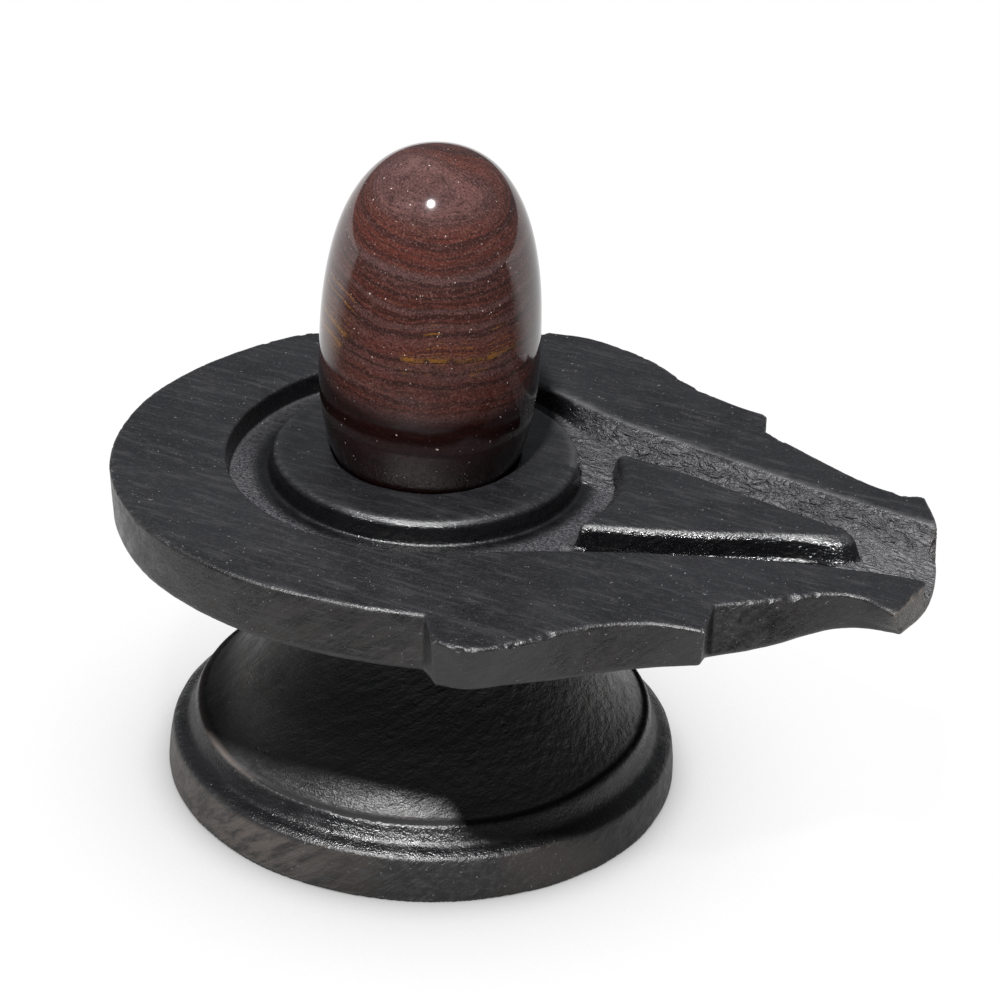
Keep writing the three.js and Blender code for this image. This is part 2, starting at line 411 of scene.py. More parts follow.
waterway_edge = joined_runs(WATERWAY_RUNS, SLAB_STEP)[::-1]
edge_x, edge_y = waterway_edge.T
far = np.where(edge_y > 0, np.interp(edge_x, *FAR_STRETCH), 0.0)
lean = (WALL_LEAN + FAR_LEAN * far)[:, None]
waterway = lofted(
    "waterway",
    [level(widened(waterway_edge, out), z) for out, z in BRIM]
    + [level(widened(waterway_edge, -lean * share), z) for share, z in BED_CORNER],
)
cut(waterway, turned("boss", BOSS_PROFILE, BOSS_STEPS, BOSS_CENTRE))
island_lines = joined_runs(ISLAND_RUNS, SLAB_STEP)
island_top, island_floor = island_lines[:, :2], island_lines[:, 2:]
island_rings = [
    level(widened(island_top + (island_floor - island_top) * share, -inwards), z)
    for share, inwards, z in ISLAND_SIDES
]
cut(waterway, lofted("island", island_rings))
cut(slab, waterway)
near_bed = joined_runs([NEAR_BED + NEAR_BED[:1]], SLAB_STEP)
bed = [level(widened(near_bed, out), FLOOR_Z + up) for out, up in BED_RINGS]
cut(slab, lofted("near_bed", bed))

# ---------------------------------------------------------------------------
# The yoni base, socket. The boss is hollowed to the shape of the stone's lower end,
# with a hair's breadth to spare, and the stone simply stands in it.
GIRTH_Z = 103.9
STONE_R = 24.0
UPPER = (47.2, 2.48)  # length above the greatest girth, and bluntness
LOWER = (38.0, 2.35)
SOCKET_GAP = 0.35
SOCKET_RINGS, SOCKET_STEPS = 24, 128


def egg_profile(gap, rings):
    """(radius, height) rows of the stone's outline, grown outwards by gap."""
    rows = []
    for i in range(-rings, rings + 1):
        angle = i / rings * math.pi / 2
        length, power = LOWER if i < 0 else UPPER
        across = max(abs(math.cos(angle)), 1e-4) ** (2 / power)
        along = math.copysign(abs(math.sin(angle)) ** (2 / power), i)
        rows.append(((STONE_R + gap) * across, GIRTH_Z + (length + gap) * along))
    return rows


cut(slab, turned("socket", egg_profile(SOCKET_GAP, SOCKET_RINGS), SOCKET_STEPS, BOSS_CENTRE))

# ---------------------------------------------------------------------------
# The yoni base, made one stone. Foot and slab are one volume, its arrises worn soft.
# Hand tools left it a little wavy, knocks have flaked its edges, and the far channel
# was left as the point chisel left it.
STONE_GRID = 0.42 * MM
MOST_TRIANGLES = 194000
ISLAND_TIP_X, ISLAND_TIP_Y, ISLAND_SLANT = 90, 4.5, 0.11  # the line of its far side
SPOUT_END_X = 113.2
BRINK_BEND = (0.03, 0.12)  # bend at which an arris starts to be knocked, and is in full
CHIPPED_BEND = 0.1
CHIPPED_SLAB_Z, CHIPPED_FOOT_Z = 60, 9  # chips lie above these heights
HAND_WORK = [  # texture, its size, its detail, how deep it goes, and where
    ("wavy", 26, 2, 0.4, ""),
    ("uneven", 6, 2, 0.16, ""),
    ("chisel", 1.9, 3, 1.1, "rough_cut"),
    ("knocks", 2.2, 3, 0.14, "brink"),
]
CHIP_COUNT = 170
CHIP_SIZE = (1.1, 1.65)  # cubed, this gives a chip's radius
CHIP_DEPTH = (0.08, 0.26)
CHIP_TILT = 0.4
FEWER_ON_FOOT = 25
CHIP_SEED = 11
GROUND_FLAT = 0.3  # whatever is lower than this is ground flat with the underside

deselect()
slab.select_set(True)
base.select_set(True)
bpy.context.view_layer.objects.active = base
bpy.ops.object.join()
apply_modifier(base, "REMESH", mode="VOXEL", voxel_size=STONE_GRID)
apply_modifier(base, "SMOOTH", factor=0.5, iterations=2)


def clouds(name, size, depth=2):
    texture = bpy.data.textures.new(name, "CLOUDS")
    texture.noise_scale = size * MM
    texture.noise_depth = depth
    return texture


def positions(mesh):
    flat = np.empty(len(mesh.vertices) * 3)
    mesh.vertices.foreach_get("co", flat)
    return flat.reshape(-1, 3)


def normals_of(mesh):
    flat = np.empty(len(mesh.vertices) * 3)
    mesh.vertices.foreach_get("normal", flat)
    return flat.reshape(-1, 3)


def inside(points, outline):
    """Which points lie inside a closed outline, seen from above."""
    found = np.zeros(len(points), bool)
    x, y = points[:, 0], points[:, 1]
    for (ax, ay), (bx, by) in zip(outline, np.roll(outline, -1, axis=0)):
        if ay == by:
            continue
        crosses = (ay > y) != (by > y)
        found ^= crosses & (x < (bx - ax) * (y - ay) / (by - ay) + ax)
    return found


def bends(mesh, rounds):
    """How sharply the surface bends at each vertex: above 0 on an arris, below in a hollow."""
    edges = np.empty(len(mesh.edges) * 2, int)
    mesh.edges.foreach_get("vertices", edges)
    edges = edges.reshape(-1, 2)
    place, normal = positions(mesh), normals_of(mesh)
    count = np.bincount(edges.ravel(), minlength=len(place))

    def neighbours(values):
        total = np.zeros_like(values)
        np.add.at(total, edges[:, 0], values[edges[:, 1]])
        np.add.at(total, edges[:, 1], values[edges[:, 0]])
        return total / count.reshape((-1,) + (1,) * (values.ndim - 1))

    bend = ((place - neighbours(place)) * normal).sum(1) / STONE_GRID
    for _ in range(rounds):
        bend = (bend + neighbours(bend)) / 2
    return bend


def weights(piece, name, values):
    group = piece.vertex_groups.new(name=name)
    for step in range(1, 11):
        chosen = np.flatnonzero(np.round(values * 10) == step)
        group.add([int(i) for i in chosen], step / 10, "REPLACE")


def sunk(place):
    """How far into the waterway each point lies: 0 at its brim, 1 from 1 mm down."""
    from_boss = np.hypot(place[:, 0] - BOSS_CENTRE[0], place[:, 1] - BOSS_CENTRE[1])
    within = inside(place[:, :2], widened(waterway_edge, 0.4)) & (place[:, 2] > FLOOR_Z - 2)
    return within * fade(SLAB_TOP - place[:, 2], 0.3, 1.1) * fade(from_boss, 33.0, 33.6)


def off_island(place):
    """0 on the island and its sloping sides, 1 elsewhere."""
    on_it = inside(place[:, :2], widened(island_floor, 0.2)) & (place[:, 2] > FLOOR_Z + 0.6)
    return 1.0 - on_it


def point_chiselled(place):
    """1 in the far channel and on the spout's floor, which were left rough, else 0."""
    x, y = place[:, 0], place[:, 1]
    beyond_island = fade(y - ISLAND_TIP_Y - (ISLAND_TIP_X - x) * ISLAND_SLANT, -5, -2)
    mouth = fade(x, 91, 97)
    return sunk(place) * np.maximum(fade(x, 18, 30) * beyond_island, mouth) * off_island(place)


place = positions(base.data) / MM
raw_arris = bends(base.data, 2)
weights(base, "rough_cut", point_chiselled(place) * fade(SPOUT_END_X - place[:, 0], 0.0, 2.0))
weights(base, "brink", fade(raw_arris, *BRINK_BEND) * fade(place[:, 2], 5, 9))
for name, size, detail, strength, group in HAND_WORK:
    apply_modifier(
        base,
        "DISPLACE",
        texture=clouds(name, size, detail),
        strength=strength * MM,
        mid_level=0.5,
        vertex_group=group,
    )

rng = random.Random(CHIP_SEED)
arris = bends(base.data, 2)
place, normal = positions(base.data), normals_of(base.data)
tree = kdtree.KDTree(len(place))
for i, point in enumerate(place):
    tree.insert(point, i)
tree.balance()
chipped = arris > CHIPPED_BEND
on_slab = chipped & (place[:, 2] > CHIPPED_SLAB_Z * MM)
on_foot = chipped & (place[:, 2] > CHIPPED_FOOT_Z * MM)
on_foot &= np.arange(len(arris)) % FEWER_ON_FOOT == 0
sharp = np.flatnonzero(on_slab | on_foot)
for _ in range(CHIP_COUNT):
    i = int(rng.choice(sharp))
    size = rng.uniform(*CHIP_SIZE) ** 3 * MM
    depth = rng.uniform(*CHIP_DEPTH) * MM
    tilt = Vector([rng.uniform(-CHIP_TILT, CHIP_TILT) for _ in range(3)])
    outward = (Vector(normal[i]) + tilt).normalized()
    ball = Vector(place[i]) + outward * (size - depth)
    for point, j, distance in tree.find_range(ball, size):
        if distance > 0:
            place[j] = ball + (Vector(place[j]) - ball).normalized() * size
place[place[:, 2] < GROUND_FLAT * MM, 2] = 0.0
base.data.vertices.foreach_set("co", place.ravel())
base.data.update()

triangles = sum(len(face.vertices) - 2 for face in base.data.polygons)
apply_modifier(base, "DECIMATE", ratio=min(1.0, MOST_TRIANGLES / triangles))
deselect()
base.select_set(True)
bpy.context.view_layer.objects.active = base
bpy.ops.object.shade_smooth()


# ---------------------------------------------------------------------------
# The yoni base, its finish. Oiled black stone, greyer where it is scratched, dusty or
# worn, black and glossy in the near channel and by the boss, and brown with old oil on the
# foot. Painted highlights run along its arrises and the far brim, painted shade darkens the
# bell's front and the groove's far-left corner, and the lip's far left carries a painted
# reflection. Each pair of numbers says where a change starts and where it is full.
LEVEL = (0.55, 0.85)  # how much a face looks up, from none of it to level enough
STEEP = (0.80, 0.45)
BRIM_Z = (79.3, 79.9)
NEAR_CHANNEL_X, NEAR_CHANNEL_Y, NEAR_CHANNEL_END = (38, 41), (-6, -9), (92, 88)
BESIDE_BOSS = (38.6, 36.0)  # radius round the boss
BOSS_TOP_R = (32.5, 31)
SHADE_CORNER_X, SHADE_CORNER_Y, SHADE_CORNER_AMOUNT = (-30, -37), (-15, -4), 0.75
SPOUT_X, SPOUT_END_FACE_X = (84, 100), (108.5, 111.5)
FOOT_TOP_Z, BELL_TOP_Z, NECK_Z = (62, 56), (62, 58), (66, 62)
ACROSS_X, ACROSS_Y = 0.954, 0.30  # the direction in which the foot's sides are told apart
LEFT, FAR_LEFT, RIGHT, FRONT = (-12, -30), (-34, -46), (22, 38), (40, 26)
FOOT_WALL_Z, SHOULDER_Z = (9.0, 8.0), (9.2, 10.0)
SHOULDER_END_Z, LOWER_AT_LEFT, SHOULDER_BLUR = 17.1, 0.9, 0.5
GROOVE_R, GROOVE_WIDTH = 50.3, (0.8, 0.4)
GROOVE_BED_Z, GROOVE_TOP_Z, GROOVE_SIDE = (14, 15), (20, 18), (-40, -28)
LIP_FROM_Z, LIP_TO_Z, LIP_DULL = (16.6, 16.9), (17.9, 17.2), 0.3
WEAR_AND_REFLECTION_FROM_Z, WEAR_AND_REFLECTION_TO_Z = (16.5, 16.8), (17.5, 17.1)
BELL_FROM_Z, BROWN_FROM_Z, ROUGH_TO_Z = (16.9, 17.3), (21, 29), (34, 20)
DARK_FROM_Z = (17.5, 19)


def paint(piece, name, values):
    """Stores one number per vertex for the material to read."""
    layer = piece.data.attributes.new(name, "FLOAT", "POINT")
    layer.data.foreach_set("value", np.asarray(values, np.float32))


bend = bends(base.data, 3)
place = positions(base.data) / MM
x, y, z = place.T
upward = np.clip(normals_of(base.data)[:, 2], -1, 1)
at_brim = inside(place[:, :2], widened(waterway_edge, 1.5))
at_brim &= ~inside(place[:, :2], widened(island_floor, 1.0))
near_brim = at_brim & (x > 36) & (y < -11)
far_brim_highlight = at_brim & (x > 14) & (y > 4)
# Arrises: paler with wear and a painted highlight; they also get a finer bump.
paint(base, "arris", np.clip(bend * 4 - 0.25, 0, 1) * ~near_brim)
# The far channel's brim is painted paler: a painted highlight.
paint(base, "far_brim_highlight", np.clip(bend * 5, 0, 1) * far_brim_highlight * fade(z, *BRIM_Z))
paint(base, "hollow", np.clip(-bend * 5, 0, 1))
paint(base, "wall", np.clip(1.15 - np.abs(upward) * 1.6, 0, 1))

# Black and glossy: the waterway's walls, the near channel, and the groove beside the boss.
chiselled = point_chiselled(place)
near_channel = fade(x, *NEAR_CHANNEL_X) * fade(y - ISLAND_TIP_Y, *NEAR_CHANNEL_Y)
near_channel *= fade(x + y, *NEAR_CHANNEL_END)
from_boss = np.hypot(x - BOSS_CENTRE[0], y - BOSS_CENTRE[1])
below_boss = fade(from_boss, *BESIDE_BOSS) * (1 - chiselled)
dark_gloss = np.maximum(np.maximum(fade(upward, *STEEP), near_channel), below_boss)
paint(base, "chiselled", chiselled)
paint(base, "dark_gloss", sunk(place) * (1 - chiselled) * dark_gloss)

# Dusty: the rest of the groove's floor and the spout; painted shade dims the far-left corner.
dusty_floor = sunk(place) * fade(upward, *LEVEL) * (1 - near_channel) * off_island(place)
dusty_floor *= 1 - below_boss
# The groove's far-left corner gets less of the pale dust: painted shade.
painted_shade_corner = fade(x, *SHADE_CORNER_X) * fade(y, *SHADE_CORNER_Y)
paint(base, "groove_floor", dusty_floor * (1 - SHADE_CORNER_AMOUNT * painted_shade_corner))
paint(base, "boss_top", fade(from_boss, *BOSS_TOP_R) * (z > 79))
paint(base, "spout_end", fade(x, *SPOUT_END_FACE_X) * fade(upward, 0.8, 0.5))
paint(base, "spout", fade(x, *SPOUT_X) * fade(upward, 0.5, 0.9))

# The foot, by its height as if it were cut level and by which side of it a point is on.
rim_height = z.copy()
for _ in range(12):
    rim_height = z - out_of_level(rim_height, y)
sideways = ACROSS_X * x + ACROSS_Y * y
left_side, far_left = fade(sideways, *LEFT), fade(sideways, *FAR_LEFT)
right_side, front = fade(sideways, *RIGHT), fade(np.abs(sideways), *FRONT)
shoulder_end = SHOULDER_END_Z - LOWER_AT_LEFT * left_side
shoulder = fade(rim_height, *SHOULDER_Z)
shoulder *= fade(rim_height, shoulder_end + SHOULDER_BLUR, shoulder_end)
lip_groove = fade(np.abs(np.hypot(x, y) - GROOVE_R), *GROOVE_WIDTH)
lip_groove *= fade(rim_height, *GROOVE_TOP_Z)
lip_groove *= fade(rim_height, *GROOVE_BED_Z) * fade(sideways, *GROOVE_SIDE)
lip = fade(rim_height, *LIP_FROM_Z) * fade(rim_height, *LIP_TO_Z)
lip_wear_and_reflection = fade(rim_height, *WEAR_AND_REFLECTION_FROM_Z) * fade(rim_height, *WEAR_AND_REFLECTION_TO_Z)
above_lip = fade(rim_height, *BELL_FROM_Z) * fade(z, *NECK_Z)
brown_bell = np.maximum(left_side, right_side) * fade(rim_height, *BROWN_FROM_Z)
# The bell's front, under the slab, is painted near black: painted shade.
painted_shade_bell = fade(rim_height, *DARK_FROM_Z) * fade(z, *BELL_TOP_Z) * front
paint(base, "foot", fade(z, *FOOT_TOP_Z))
paint(base, "foot_wall", fade(rim_height, *FOOT_WALL_Z) * left_side)
paint(base, "shoulder", np.maximum(shoulder, lip_groove))
paint(base, "lip", np.maximum(lip * LIP_DULL, lip_groove))
# The lip on the far left: pale brown wear, and a painted reflection.
paint(base, "lip_wear_and_reflection", lip_wear_and_reflection * far_left)
paint(base, "flank", brown_bell * above_lip)
paint(base, "left_flank", far_left * above_lip * fade(rim_height, *ROUGH_TO_Z))
paint(base, "right_flank", right_side * above_lip)
paint(base, "painted_shade_bell", painted_shade_bell)
base.vertex_groups.clear()


class Nodes:
    """Adds nodes to one material and joins them up."""

    def __init__(self, material):
        material.use_nodes = True
        self.tree = material.node_tree
        self.shader = self.tree.nodes["Principled BSDF"]

    def add(self, kind, inputs=None, **settings):
        node = self.tree.nodes.new("ShaderNode" + kind)
        for name, value in settings.items():
            setattr(node, name, value)
        for key, value in (inputs or {}).items():
            self.feed(node.inputs[key], value)
        return node

    def feed(self, socket, value):
        if isinstance(value, bpy.types.NodeSocket):
            self.tree.links.new(value, socket)
        elif isinstance(value, bpy.types.Node):
            self.tree.links.new(value.outputs[0], socket)
        else:
            socket.default_value = value

    def math(self, operation, a, b=0.0, c=0.0, clamp=False):
        return self.add(
            "Math", {0: a, 1: b, 2: c}, operation=operation, use_clamp=clamp
        )

    def noise(self, place, scale, detail=3.0, roughness=0.55, distortion=0.0, **settings):
        inputs = {
            "Scale": scale,
            "Detail": detail,
            "Roughness": roughness,
            "Distortion": distortion,
        }
        inputs["W" if settings.get("noise_dimensions") == "1D" else "Vector"] = place
        return self.add("TexNoise", inputs, **settings).outputs["Fac"]

    def ramp(self, value, low, high, start=0.0, end=1.0):
        """Smoothly from start to end as value goes from low to high."""
        return self.add(
            "MapRange",
            {"Value": value, 1: low, 2: high, 3: start, 4: end},
            interpolation_type="SMOOTHSTEP",
        )

    def mix(self, factor, a, b, blend="MIX"):
        node = self.add("Mix", data_type="RGBA", blend_type=blend)
        self.feed(node.inputs[0], factor)
        self.feed(node.inputs[6], a)
        self.feed(node.inputs[7], b)
        return node.outputs[2]

    def attribute(self, name):
        return self.add("Attribute", attribute_name=name).outputs["Fac"]


def colour(red, green, blue):
    return (red, green, blue, 1.0)


OIL_BLACK = colour(0.0040, 0.0041, 0.0050)
SOFT_BLACK = colour(0.0075, 0.0076, 0.0088)
WALL_BLACK = colour(0.0028, 0.0024, 0.0022)
WALL_BROWN = colour(0.0120, 0.0102, 0.0092)
FOOT_BLACK = colour(0.0034, 0.0030, 0.0028)
FOOT_EARTH = colour(0.0150, 0.0115, 0.0092)
FOOT_WALL_BROWN = colour(0.050, 0.041, 0.036)
BELL_SHADE_AND_BOSS_TOP_BLACK = colour(0.0012, 0.0012, 0.0017)
BELL_BROWN = colour(0.055, 0.044, 0.036)
SHOULDER_BLACK = colour(0.0022, 0.0022, 0.0028)
LIP_WEAR_AND_REFLECTION_BROWN = colour(0.085, 0.070, 0.062)
GLOSSY_BLACK = colour(0.0012, 0.0012, 0.0016)
SMUDGE_GREY = colour(0.035, 0.035, 0.038)
RUBBED_GREY = colour(0.020, 0.020, 0.022)
STROKE_GREY = colour(0.022, 0.0215, 0.022)
GRAIN_GREY = colour(0.022, 0.022, 0.023)
SPECK_GREY = colour(0.13, 0.13, 0.135)
ARRIS_WEAR_AND_HIGHLIGHT_GREY = colour(0.060, 0.058, 0.058)
DUST_BLACK = colour(0.006, 0.006, 0.0075)
DUST_GREY = colour(0.060, 0.060, 0.065)
CHISEL_GREY = colour(0.10, 0.10, 0.105)
SPOUT_GREY = colour(0.12, 0.12, 0.125)
BRIM_HIGHLIGHT_GREY = colour(0.10, 0.10, 0.102)
SPOUT_END_BROWN = colour(0.095, 0.082, 0.072)
DRAWN_AT = ((9.0, 1.2, 1.0), (0, 0, math.radians(-6)))  # long and narrow, along the slab
SCORED_AT = ((6.0, 1.3, 1.0), (0, math.radians(-38), 0))  # slanting down the walls
TOOLED_AT = ((2.6, 1.0, 1.0), (0, 0, math.radians(-14)))  # along the far channel

black_stone = bpy.data.materials.new("oiled_black_stone")
n = Nodes(black_stone)
here = n.add("TexCoord").outputs["Object"]


def stretched(scale, rotation):
    """Places for a pattern that is drawn out along one direction."""
    inputs = {"Vector": here, "Rotation": rotation, "Scale": scale}
    return n.add("Mapping", inputs, vector_type="TEXTURE")


lay = stretched(*SCORED_AT)
blotches = n.noise(here, 160, 3)
strokes = n.noise(lay, 1700, 4, 0.6)
scored = n.noise(lay, 420, 4, 0.7)
rubbed = n.noise(stretched(*DRAWN_AT), 900, 4, 0.65)
grain = n.noise(here, 2600, 2)
arris_here = n.attribute("arris")
wall_here = n.attribute("wall")
chisel_here = n.attribute("chiselled")
dark_gloss_here = n.attribute("dark_gloss")
foot_here = n.attribute("foot")
shoulder_here = n.attribute("shoulder")
boss_top_here = n.attribute("boss_top")
floor_here = n.math("MAXIMUM", n.attribute("groove_floor"), chisel_here)
spout_here = n.math("MULTIPLY", chisel_here, n.attribute("spout"))
muddy = n.ramp(scored, 0.36, 0.60, 0.10, 0.9)


def both(one, other):
    return n.math("MULTIPLY", one, other)


ground = n.mix(n.ramp(n.noise(here, 45, 4), 0.35, 0.65), OIL_BLACK, SOFT_BLACK)
brown = n.mix(n.ramp(scored, 0.38, 0.62), WALL_BLACK, WALL_BROWN)
earthy = n.ramp(n.noise(here, 30, 3), 0.50, 0.64, 0.0, 0.75)
dusty = n.ramp(n.noise(here, 1500, 3, 0.7), 0.35, 0.70)
dust = n.mix(dusty, DUST_BLACK, DUST_GREY)
dust = n.mix(both(chisel_here, 0.35), dust, CHISEL_GREY)
for share, tone in (
    (both(wall_here, 0.85), brown),
    (both(foot_here, 0.6), FOOT_BLACK),
    (both(earthy, foot_here), FOOT_EARTH),
    (n.ramp(n.noise(here, 60, 5, 0.7), 0.62, 0.76, 0.0, 0.3), SMUDGE_GREY),
    (n.ramp(rubbed, 0.49, 0.68, 0.0, 0.6), RUBBED_GREY),
    (n.ramp(strokes, 0.50, 0.72, 0.0, 0.55), STROKE_GREY),
    (n.ramp(grain, 0.56, 0.72, 0.0, 0.5), GRAIN_GREY),
    (n.ramp(n.noise(here, 1300, 1), 0.73, 0.79, 0.0, 0.7), SPECK_GREY),
    (both(floor_here, 0.85), dust),
    (both(spout_here, 0.5), SPOUT_GREY),
    # the far brim: a painted highlight
    (both(n.attribute("far_brim_highlight"), 0.8), BRIM_HIGHLIGHT_GREY),
    (both(n.attribute("spout_end"), n.ramp(scored, 0.35, 0.60, 0.3, 0.9)), SPOUT_END_BROWN),
    (both(n.attribute("flank"), muddy), BELL_BROWN),
    (both(n.attribute("foot_wall"), muddy), FOOT_WALL_BROWN),
    # arrises: paler with wear, and a painted highlight
    (both(arris_here, n.ramp(grain, 0.40, 0.62, 0.15, 0.9)), ARRIS_WEAR_AND_HIGHLIGHT_GREY),
    (both(shoulder_here, 0.8), SHOULDER_BLACK),
    # the far-left lip: wear, and a painted reflection
    (both(n.attribute("lip_wear_and_reflection"), 0.9), LIP_WEAR_AND_REFLECTION_BROWN),
    (both(dark_gloss_here, 0.95), GLOSSY_BLACK),
    # painted shade on the bell's front; on the boss top, a darker tone of the stone
    (n.math("MULTIPLY_ADD", n.attribute("painted_shade_bell"), 0.75, both(boss_top_here, 0.45)), BELL_SHADE_AND_BOSS_TOP_BLACK),
):
    ground = n.mix(share, ground, tone)
n.feed(n.shader.inputs["Base Color"], ground)

sheen = n.math("SUBTRACT", n.ramp(blotches, 0.3, 0.7, 0.37, 0.46), 0.135)
for what, rougher in (
    (rubbed, 0.26),
    (foot_here, 0.03),
    (shoulder_here, -0.18),
    (dark_gloss_here, -0.22),
    (boss_top_here, -0.02),
    (n.attribute("lip"), 0.7),
    (n.attribute("left_flank"), 0.45),
    (n.attribute("right_flank"), -0.12),
    (n.attribute("hollow"), 0.45),
):
    sheen = n.math("MULTIPLY_ADD", what, rougher, sheen)
scoring = both(n.math("SUBTRACT", scored, 0.5), wall_here)
sheen = n.math("MULTIPLY_ADD", scoring, 0.5, sheen, clamp=True)
n.feed(n.shader.inputs["Roughness"], sheen)
n.shader.inputs["IOR"].default_value = 1.50

pits = n.add("TexVoronoi", {"Vector": here, "Scale": 420.0, "Randomness": 1.0})
pit_depth = n.ramp(pits.outputs["Distance"], 0.05, 0.22, -1.0, 0.0)
few_pits = n.ramp(n.noise(here, 130, 2), 0.58, 0.70)
crumple = n.noise(stretched(*TOOLED_AT), 430, 3, 0.6, 0.8)
crumple = n.math("ABSOLUTE", n.math("SUBTRACT", crumple, 0.5))
tooled = n.math("MAXIMUM", foot_here, both(wall_here, 0.7))
tooled = n.math("SUBTRACT", tooled, shoulder_here, clamp=True)
sparkle = n.noise(here, 1900, 3, 0.7)
relief = None
for height, strength, distance in (  # each over the one before; distance in mm
    (both(n.noise(lay, 520, 3, 0.6), tooled), 0.8, 0.6),
    (strokes, 0.7, 0.16),
    (rubbed, 0.8, 0.15),
    (grain, 0.8, 0.16),
    (both(pit_depth, few_pits), 0.6, 0.35),
    (both(sparkle, floor_here), 1.0, 0.40),
    (both(crumple, chisel_here), 1.0, 7.0),
    (both(sparkle, arris_here), 0.8, 0.24),
):
    inputs = {"Strength": strength, "Distance": distance * MM, "Height": height}
    if relief:
        inputs["Normal"] = relief
    relief = n.add("Bump", inputs)
n.feed(n.shader.inputs["Normal"], relief)
base.data.materials.clear()
base.data.materials.append(black_stone)
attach(base, "root")
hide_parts("yoni_base")

# ---------------------------------------------------------------------------
# The lingam. An egg of banded red-brown jasper, ground to shape and polished until
# it mirrors what is round it. Its layers lie like tilted bowls, so they show as rings
# near the top and as dipping stripes down the sides.
STONE_STEPS = 128
STONE_RINGS = 44
LEAN = 0.5 * MM  # the tip stands this far to the spout's side of the axis
lingam = turned("lingam_egg", egg_profile(0.0, STONE_RINGS), STONE_STEPS, BOSS_CENTRE)
apply_modifier(
    lingam, "DISPLACE", texture=clouds("hand_ground", 30, 1), strength=0.3 * MM, mid_level=0.5
)
for vertex in lingam.data.vertices:
    vertex.co.x += LEAN * max(0.0, (vertex.co.z / MM - GIRTH_Z) / UPPER[0]) ** 2
deselect()
lingam.select_set(True)
bpy.context.view_layer.objects.active = lingam
bpy.ops.object.shade_smooth()

# Where the layers turn mauve or dark: (depth below the crown's layer, how much)
MAUVE_LAYERS = [
    (0.0, 0.75), (0.4, 0.35), (0.7, 0.6), (0.95, 0.1), (2.15, 0.0), (2.36, 0.8), (2.52, 0.1),
    (3.05, 0.0), (3.2, 0.75), (3.3, 0.0), (3.5, 0.1), (3.64, 0.7), (3.74, 0.2),
    (4.5, 0.1), (4.75, 0.5), (4.95, 0.1), (5.6, 0.0), (5.8, 0.7), (5.88, 0.0),
]  # fmt: skip
DARK_LAYERS = [
    (0.0, 0.0), (0.55, 0.0), (0.62, 0.5), (0.75, 0.1), (1.36, 0.0), (1.50, 0.8),
    (1.62, 0.1), (1.96, 0.0), (2.05, 0.8), (2.14, 0.1), (2.52, 0.1), (2.62, 0.7),
    (2.72, 0.1), (2.92, 0.1), (2.98, 0.75), (3.04, 0.0), (3.28, 0.1), (3.37, 0.85),
    (3.45, 0.0), (3.72, 0.1), (3.79, 0.85), (3.88, 0.0), (4.36, 0.0), (4.42, 0.5),
    (4.50, 0.0), (5.3, 0.1), (5.42, 0.5), (5.55, 0.1), (5.88, 0.2), (5.96, 0.7),
    (6.2, 0.3),
]  # fmt: skip
ALL_LAYERS = 8.0  # the depth that both lists are read over
TOP_LAYER = 154.3  # height of the crown's layer where it crosses the axis, in mm
BOWL = 0.031  # how much a layer rises with the square of the distance from the axis
TILT_X, TILT_Y = 0.078, -0.155
EYE = (-5.5, -6.0, 0.0)  # the rings close round this point of the crown
EYE_REACH, EYE_RISE = 16.0, 2.6
BRICK = colour(0.054, 0.0125, 0.0080)
DEEP_BRICK = colour(0.038, 0.0100, 0.0068)
PLUM = colour(0.044, 0.022, 0.019)
MAUVE = colour(0.055, 0.033, 0.032)
CROWN_MAUVE = colour(0.078, 0.040, 0.038)
DARK_BAND = colour(0.014, 0.0062, 0.0055)
DARK_LINE = colour(0.016, 0.0075, 0.0068)
DARK_LAYER = colour(0.0105, 0.0052, 0.0050)
GOLDEN = colour(0.16, 0.068, 0.010)
DARK_THREAD = colour(0.012, 0.0055, 0.0052)
PALE_THREAD = colour(0.098, 0.046, 0.040)
DARK_GRIT = colour(0.010, 0.0050, 0.0048)
PALE_GRIT = colour(0.12, 0.064, 0.057)
LOW_END_BAND_AND_SHADE = colour(0.0042, 0.0014, 0.0013)
SPARK = colour(0.36, 0.31, 0.29)

jasper = bpy.data.materials.new("banded_jasper")
n = Nodes(jasper)
here = n.add("TexCoord").outputs["Object"]
local = n.add(
    "Mapping",
    {"Vector": here, "Location": (1.6, 1.0, 0.0), "Scale": (1000, 1000, 1000)},
    vector_type="POINT",
)
axes = n.add("SeparateXYZ", {0: local})
x, y, z = axes.outputs
squares = n.math("ADD", both(x, x), both(y, y))
tilted = n.math("MULTIPLY_ADD", x, TILT_X, n.math("MULTIPLY_ADD", y, TILT_Y, z))
height = n.math("ADD", tilted, both(squares, BOWL))
flat_place = n.add("CombineXYZ", {0: x, 1: y})
from_eye = n.add("VectorMath", {0: flat_place, 1: EYE}, operation="DISTANCE").outputs["Value"]
height = n.math("ADD", height, n.ramp(from_eye, 0.0, EYE_REACH, EYE_RISE, 0.0))
under_top = n.math("SUBTRACT", TOP_LAYER, height)
depth = n.math("SQRT", n.math("MAXIMUM", under_top, 0.0))
warp = n.math("SUBTRACT", n.noise(here, 42, 2), 0.5)
ripple = n.math("SUBTRACT", n.noise(here, 210, 3), 0.5)
ragged = n.math("SUBTRACT", n.noise(here, 1500, 3, 0.7), 0.5)
depth = n.math("MULTIPLY_ADD", warp, 0.55, depth)
depth = n.math("MULTIPLY_ADD", ripple, 0.10, depth)
depth = n.math("MULTIPLY_ADD", ragged, 0.10, depth)


